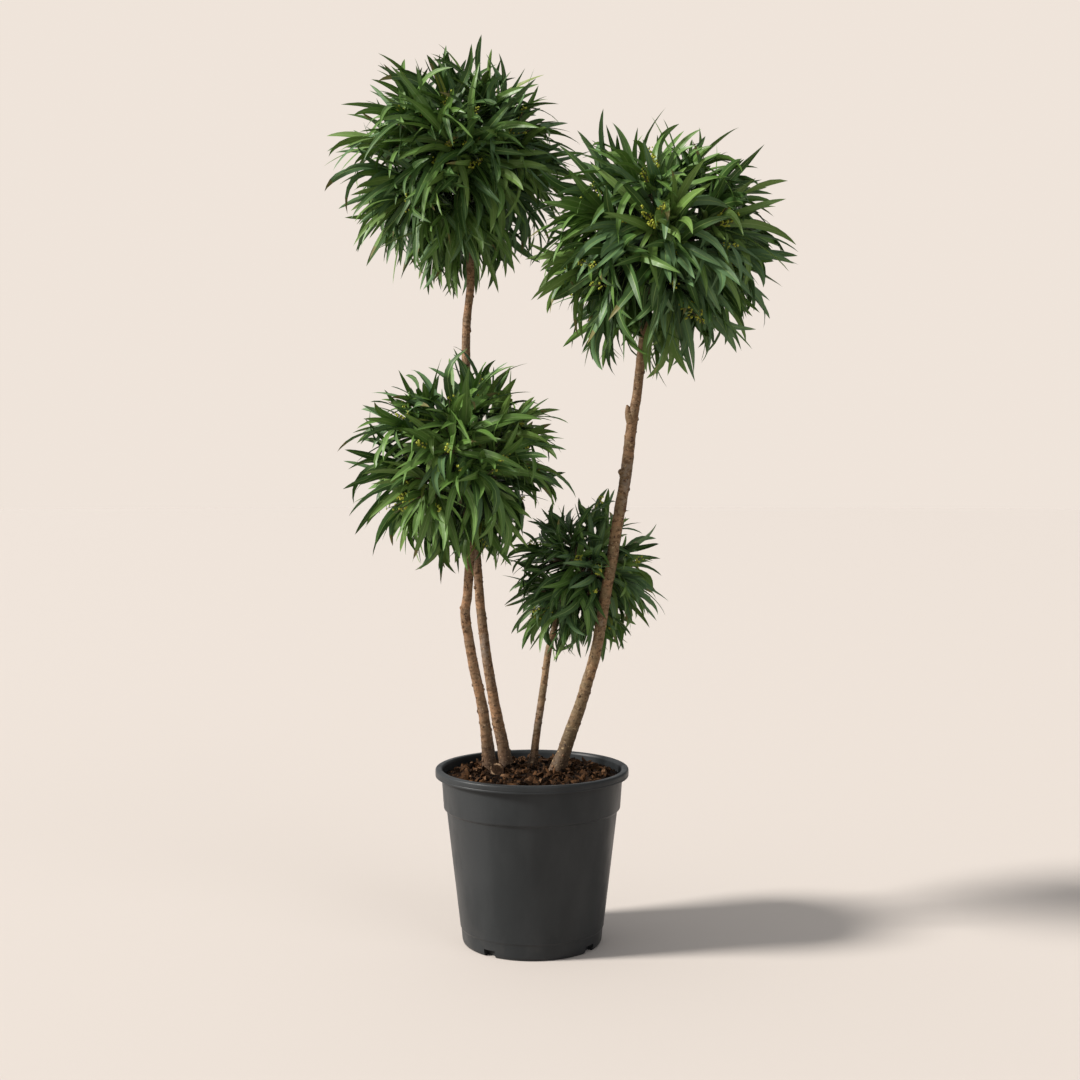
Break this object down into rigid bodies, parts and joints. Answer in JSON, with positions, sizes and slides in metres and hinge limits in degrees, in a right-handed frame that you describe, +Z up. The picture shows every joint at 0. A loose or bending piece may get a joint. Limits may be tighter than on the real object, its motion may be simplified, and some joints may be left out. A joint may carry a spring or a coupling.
{
  "type": "multi-stem pompom fig in a nursery pot",
  "caption": "Potted evergreen with slender bare stems rising from one pot, each carrying a dense clipped ball of long narrow leaves.",
  "frame": {"origin": "centre of the pot's flat underside, on the floor", "axes": "+Z straight up, -Y towards the front, +X to the right"},
  "size_m": [0.8145, 0.661, 1.6048],
  "materials": {
    "pot_plastic": "satin charcoal moulded plastic",
    "soil_mix": "coarse crumbly dark brown mix",
    "bark": "matt brown bark with leaf scars",
    "foliage": "soft satin dark green leaves"
  },
  "bodies": {
    "root": {"pot": "pot_plastic", "soil": "soil_mix", "cut_stub": "bark", "stem_front_left": "bark", "stem_rear_left": "bark", "stem_short": "bark", "stem_right": "bark", "ball_top_left": "foliage", "ball_top_right": "foliage", "ball_middle_left": "foliage", "ball_low_right": "foliage"}
  },
  "joints": []
}
